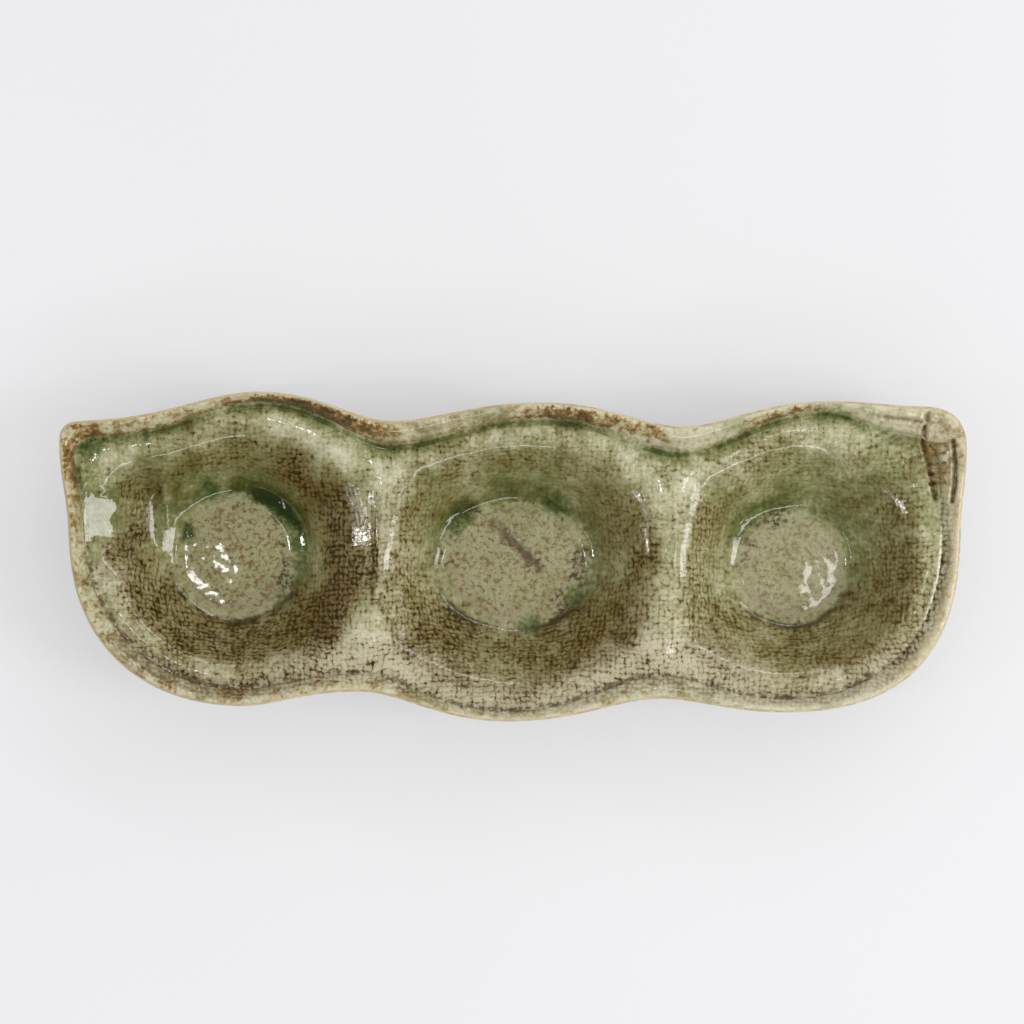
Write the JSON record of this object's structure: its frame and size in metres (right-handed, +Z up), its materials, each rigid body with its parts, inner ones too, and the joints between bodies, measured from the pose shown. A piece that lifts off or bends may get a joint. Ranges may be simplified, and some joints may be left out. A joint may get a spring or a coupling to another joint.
{
  "type": "triple sauce dish",
  "caption": "Long pod-shaped stoneware dish with a row of round sauce wells, a raised rim lip, cloth-pressed green glaze and bare clay foot rings.",
  "frame": {"origin": "on the table plane, under the middle of the dish's outline", "axes": "+X along the pod from its tip to its stem end, +Y to the back edge, +Z up"},
  "size_m": [0.2498, 0.091, 0.0286],
  "materials": {
    "cloth_glaze": "glossy, cloth-marked",
    "lip_glaze": "glossy, thin at the edge",
    "raw_clay": "matt, unglazed",
    "pooled_glaze": "glassy, thick"
  },
  "bodies": {
    "root": {"dish_body": "cloth_glaze", "rim_lip": "lip_glaze", "left_foot_ring": "raw_clay", "middle_foot_ring": "raw_clay", "right_foot_ring": "raw_clay", "left_glaze_pool": "pooled_glaze", "middle_left_glaze_pool": "pooled_glaze", "middle_right_glaze_pool": "pooled_glaze", "right_glaze_pool": "pooled_glaze", "back_groove_glaze": "pooled_glaze"}
  },
  "joints": []
}
